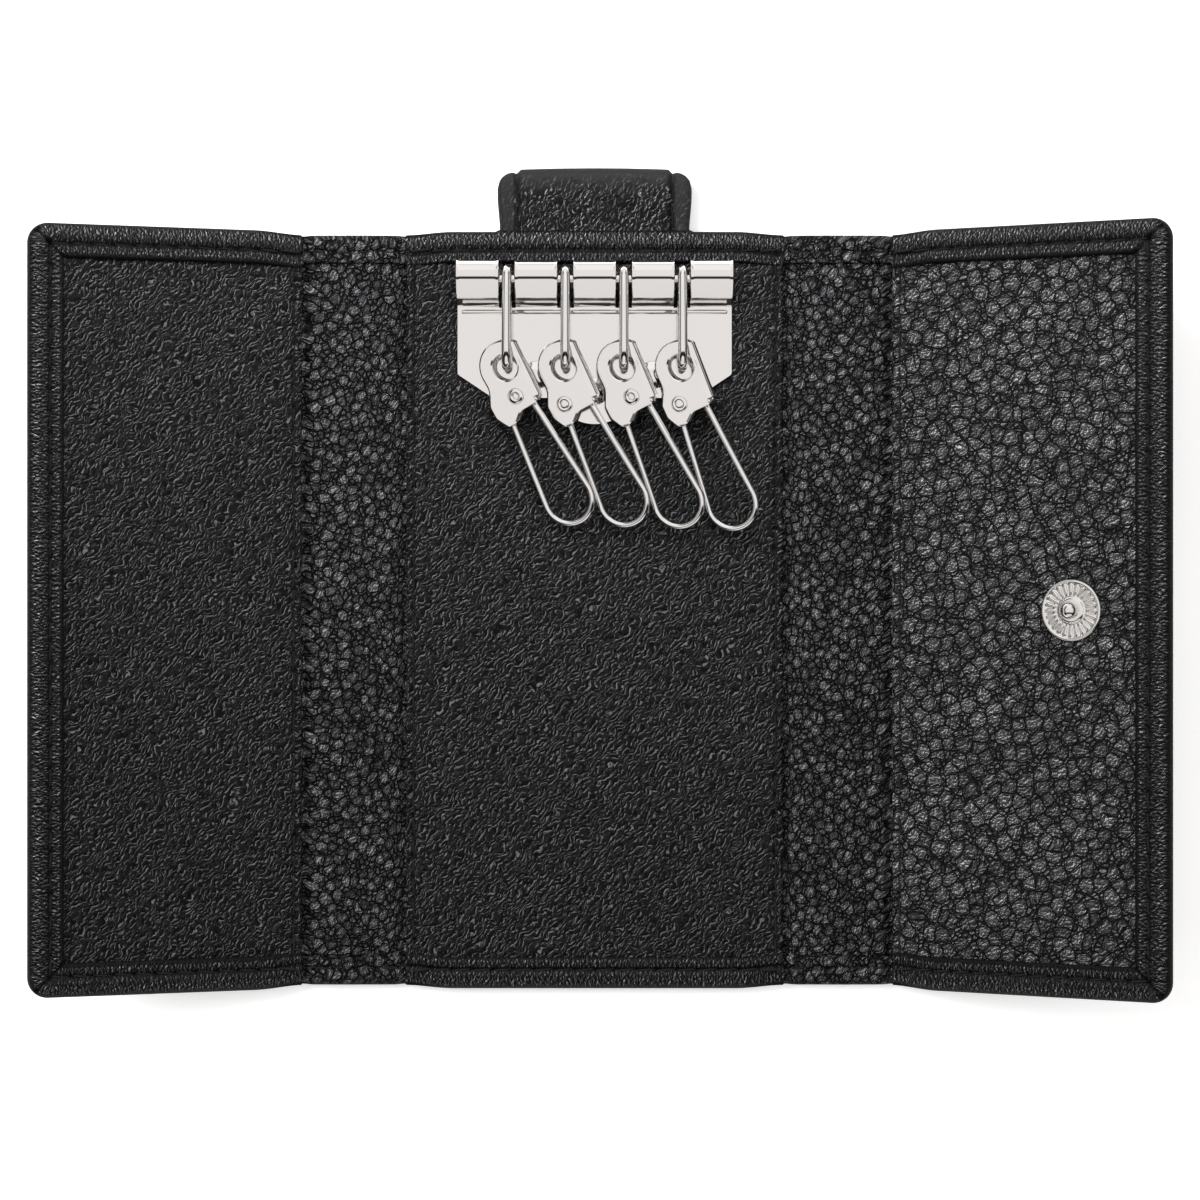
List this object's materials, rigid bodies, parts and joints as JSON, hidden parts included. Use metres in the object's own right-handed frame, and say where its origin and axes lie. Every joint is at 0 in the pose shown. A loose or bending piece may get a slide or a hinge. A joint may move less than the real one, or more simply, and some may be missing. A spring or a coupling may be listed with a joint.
{
  "type": "key case",
  "caption": "Trifold leather key case lying open: a centre panel with a hook plate and swinging key hooks, two gussets, two flaps, a snap and a pull tab.",
  "frame": {"origin": "middle of the centre panel's flat outer side, which the open case lies on", "axes": "+X across the three panels towards the flap with the snap's stud, +Y towards the edge with the hooks and the pull tab, +Z out of the case's inner side"},
  "size_m": [0.1658, 0.1225, 0.0218],
  "materials": {
    "fine_leather": "semi-matt, fine diagonal grain",
    "pebble_leather": "semi-gloss, coarse pebble grain",
    "board": "matt fibre board",
    "plated_sheet": "polished nickel plate",
    "plated_wire": "polished nickel plate",
    "snap_metal": "satin nickel plate"
  },
  "bodies": {
    "root": {"centre_cover": "fine_leather", "centre_board": "board", "centre_lining": "fine_leather", "pull_tab": "fine_leather", "hook_plate": "plated_sheet", "hook_rod": "plated_sheet", "plate_rivets": "plated_wire", "rivet_washers": "plated_wire"},
    "left_spine": {"left_spine_cover": "pebble_leather", "left_spine_lining": "pebble_leather"},
    "left_flap": {"left_flap_cover": "fine_leather", "left_flap_board": "board", "left_flap_lining": "fine_leather", "snap_socket": "snap_metal", "socket_post": "snap_metal", "socket_spring": "snap_metal"},
    "right_spine": {"right_spine_cover": "pebble_leather", "right_spine_lining": "pebble_leather"},
    "right_flap": {"right_flap_cover": "pebble_leather", "right_flap_board": "board", "right_flap_lining": "pebble_leather", "snap_stud": "snap_metal", "stud_cap": "snap_metal"},
    "link_1": {"link_1": "plated_wire"},
    "hook_1": {"hook_body_1": "plated_sheet", "hook_rivet_1": "plated_wire"},
    "gate_1": {"hook_wire_1": "plated_wire"},
    "link_2": {"link_2": "plated_wire"},
    "hook_2": {"hook_body_2": "plated_sheet", "hook_rivet_2": "plated_wire"},
    "gate_2": {"hook_wire_2": "plated_wire"},
    "link_3": {"link_3": "plated_wire"},
    "hook_3": {"hook_body_3": "plated_sheet", "hook_rivet_3": "plated_wire"},
    "gate_3": {"hook_wire_3": "plated_wire"},
    "link_4": {"link_4": "plated_wire"},
    "hook_4": {"hook_body_4": "plated_sheet", "hook_rivet_4": "plated_wire"},
    "gate_4": {"hook_wire_4": "plated_wire"}
  },
  "joints": [
    {"name": "left_gusset_fold", "type": "hinge", "parent": "root", "child": "left_spine", "pos_m": [-0.0285, 0, 0.002], "axis": [0, 1, 0], "range_deg": [0, 90]},
    {"name": "left_flap_fold", "type": "hinge", "parent": "left_spine", "child": "left_flap", "pos_m": [-0.0435, 0, 0.002], "axis": [0, 1, 0], "range_deg": [-13, 77]},
    {"name": "right_gusset_fold", "type": "hinge", "parent": "root", "child": "right_spine", "pos_m": [0.0285, 0, 0.002], "axis": [0, -1, 0], "range_deg": [0, 90]},
    {"name": "right_flap_fold", "type": "hinge", "parent": "right_spine", "child": "right_flap", "pos_m": [0.0443, 0, 0.002], "axis": [0, -1, 0], "range_deg": [-24, 59]},
    {"name": "link_swing_1", "type": "hinge", "parent": "root", "child": "link_1", "pos_m": [-0.01298, 0.04895, 0.007], "axis": [1, 0, 0], "range_deg": [-110, 0]},
    {"name": "hook_swing_1", "type": "hinge", "parent": "link_1", "child": "hook_1", "pos_m": [-0.01298, 0.03601, 0.00745], "axis": [0.3083, 0.2223, -0.9249], "range_deg": [-30, 0]},
    {"name": "gate_swing_1", "type": "hinge", "parent": "hook_1", "child": "gate_1", "pos_m": [-0.0092, 0.03092, 0.00749], "axis": [0.3083, 0.2223, -0.9249], "range_deg": [-40, 0]},
    {"name": "link_swing_2", "type": "hinge", "parent": "root", "child": "link_2", "pos_m": [-0.00432, 0.04895, 0.007], "axis": [1, 0, 0], "range_deg": [-110, 0]},
    {"name": "hook_swing_2", "type": "hinge", "parent": "link_2", "child": "hook_2", "pos_m": [-0.00432, 0.03601, 0.00745], "axis": [0.3141, 0.2142, -0.9249], "range_deg": [-30, 0]},
    {"name": "gate_swing_2", "type": "hinge", "parent": "hook_2", "child": "gate_2", "pos_m": [-0.00068, 0.03083, 0.00749], "axis": [0.3141, 0.2142, -0.9249], "range_deg": [-40, 0]},
    {"name": "link_swing_3", "type": "hinge", "parent": "root", "child": "link_3", "pos_m": [0.00432, 0.04895, 0.007], "axis": [1, 0, 0], "range_deg": [-110, 0]},
    {"name": "hook_swing_3", "type": "hinge", "parent": "link_3", "child": "hook_3", "pos_m": [0.00432, 0.03601, 0.00745], "axis": [0.3196, 0.2059, -0.9249], "range_deg": [-30, 0]},
    {"name": "gate_swing_3", "type": "hinge", "parent": "hook_3", "child": "gate_3", "pos_m": [0.00783, 0.03073, 0.00749], "axis": [0.3196, 0.2059, -0.9249], "range_deg": [-40, 0]},
    {"name": "link_swing_4", "type": "hinge", "parent": "root", "child": "link_4", "pos_m": [0.01298, 0.04895, 0.007], "axis": [1, 0, 0], "range_deg": [-110, 0]},
    {"name": "hook_swing_4", "type": "hinge", "parent": "link_4", "child": "hook_4", "pos_m": [0.01298, 0.03601, 0.00745], "axis": [0.3265, 0.1946, -0.9249], "range_deg": [-30, 0]},
    {"name": "gate_swing_4", "type": "hinge", "parent": "hook_4", "child": "gate_4", "pos_m": [0.0163, 0.03061, 0.00749], "axis": [0.3265, 0.1946, -0.9249], "range_deg": [-40, 0]}
  ]
}
